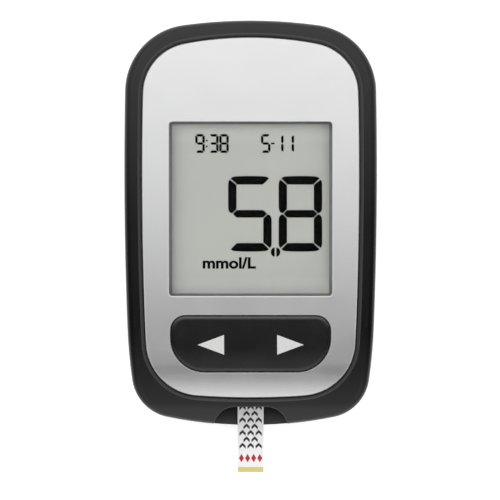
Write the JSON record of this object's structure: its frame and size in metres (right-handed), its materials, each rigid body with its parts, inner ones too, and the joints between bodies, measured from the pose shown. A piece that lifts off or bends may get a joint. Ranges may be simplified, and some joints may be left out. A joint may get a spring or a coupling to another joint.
{
  "type": "blood glucose meter",
  "caption": "Pocket blood glucose meter with a display, a two-way rocker key, a battery door and a test strip in its slot.",
  "frame": {"origin": "centre of the flat back face that the meter rests on", "axes": "+X to the right of the display, +Y away from the test strip towards the top of the display, +Z out of the display"},
  "size_m": [0.0486, 0.087, 0.0153],
  "materials": {
    "case_plastic": "fine satin",
    "silver_paint": "satin metallic",
    "clear_plastic": "clear, glossy",
    "white_plastic": "matte",
    "polariser_film": "anti-glare film",
    "display_glass": "clear",
    "reflector_film": "satin",
    "zebra_rubber": "matte",
    "board_laminate": "satin solder mask",
    "screw_steel": "plated",
    "chip_plastic": "matte",
    "chip_ceramic": "matte",
    "bright_metal": "bright",
    "key_plastic": "satin",
    "arrow_white": "satin",
    "connector_plastic": "matte",
    "contact_gold": "gold plated",
    "strip_film": "satin film",
    "strip_yellow": "satin film",
    "cell_steel": "brushed",
    "seal_plastic": "matte"
  },
  "bodies": {
    "housing": {"front_housing": "case_plastic", "rear_housing": "case_plastic", "faceplate": "silver_paint", "display_lens": "clear_plastic", "display_tray": "white_plastic", "front_polariser": "polariser_film", "front_glass": "display_glass", "rear_glass": "display_glass", "reflector": "reflector_film", "zebra_strip": "zebra_rubber", "circuit_board": "board_laminate", "board_screws": "screw_steel", "processor_chip": "chip_plastic", "measuring_chip": "chip_plastic", "memory_chip": "chip_plastic", "crystal_can": "bright_metal", "chip_resistors": "chip_plastic", "chip_capacitors": "chip_ceramic", "left_dome": "bright_metal", "right_dome": "bright_metal", "strip_connector": "connector_plastic", "strip_contacts": "contact_gold", "cell_can": "cell_steel", "cell_seal": "seal_plastic", "cell_cap": "cell_steel", "negative_contact": "bright_metal", "positive_contact": "bright_metal"},
    "rocker": {"rocker_key": "key_plastic", "left_arrow": "arrow_white", "right_arrow": "arrow_white"},
    "battery_door": {"battery_door": "case_plastic", "door_latch": "case_plastic"},
    "test_strip": {"strip_base": "strip_film", "strip_electrodes": "contact_gold", "strip_spacer": "strip_film", "strip_cover": "strip_film", "strip_tip": "strip_yellow"}
  },
  "joints": [
    {"name": "rocker_tilt", "type": "hinge", "parent": "housing", "child": "rocker", "pos_m": [0, -0.0232, 0.0109], "axis": [0, 1, 0], "range_deg": [-2, 2], "stiffness_Nm_per_rad": 0.3, "deforming": ["left_dome", "right_dome"]},
    {"name": "door_hinge", "type": "hinge", "parent": "housing", "child": "battery_door", "pos_m": [0, 0.0022, 0.00015], "axis": [-1, 0, 0], "range_deg": [0, 75], "deforming": ["door_latch"]},
    {"name": "strip_slide", "type": "slide", "parent": "housing", "child": "test_strip", "axis": [0, -1, 0], "range_m": [0, 0.016]}
  ]
}
